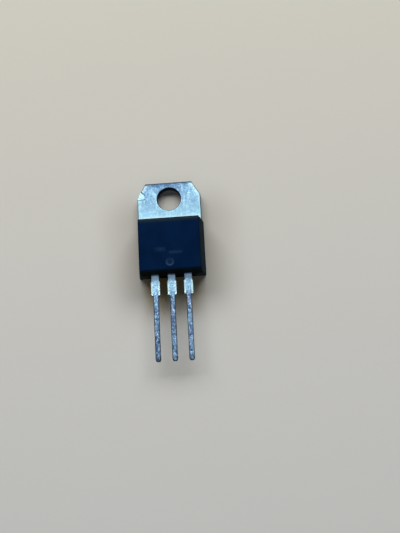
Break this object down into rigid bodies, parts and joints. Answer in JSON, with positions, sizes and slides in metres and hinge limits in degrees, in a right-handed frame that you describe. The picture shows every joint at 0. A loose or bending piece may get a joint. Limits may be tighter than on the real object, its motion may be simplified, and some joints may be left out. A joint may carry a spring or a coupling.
{
  "type": "triac",
  "caption": "Triac in a flat moulded power package with a holed metal tab and straight flat leads.",
  "frame": {"origin": "axis of the mounting hole in the plane of the metal back", "axes": "+Z from the metal back to the marked face, +Y to the far end of the tab with the leads along -Y, +X to the gate lead's side"},
  "size_m": [0.0104, 0.0288, 0.0045],
  "materials": {
    "tab_metal": "copper with a matt tin plating, mottled by handling and soldering heat",
    "lead_metal": "copper strip dipped in solder, uneven and slightly dull",
    "solder": "dull soft solder",
    "silicon": "glass-passivated silicon with metal pads",
    "bond_wire": "drawn aluminium",
    "epoxy": "black moulded epoxy with a fine matt grain"
  },
  "bodies": {
    "root": {"tab_header": "tab_metal", "mt1_lead": "lead_metal", "mt2_lead": "lead_metal", "gate_lead": "lead_metal", "die_solder": "solder", "triac_die": "silicon", "mt1_wire_left": "bond_wire", "mt1_wire_right": "bond_wire", "gate_wire": "bond_wire", "body": "epoxy"}
  },
  "joints": []
}
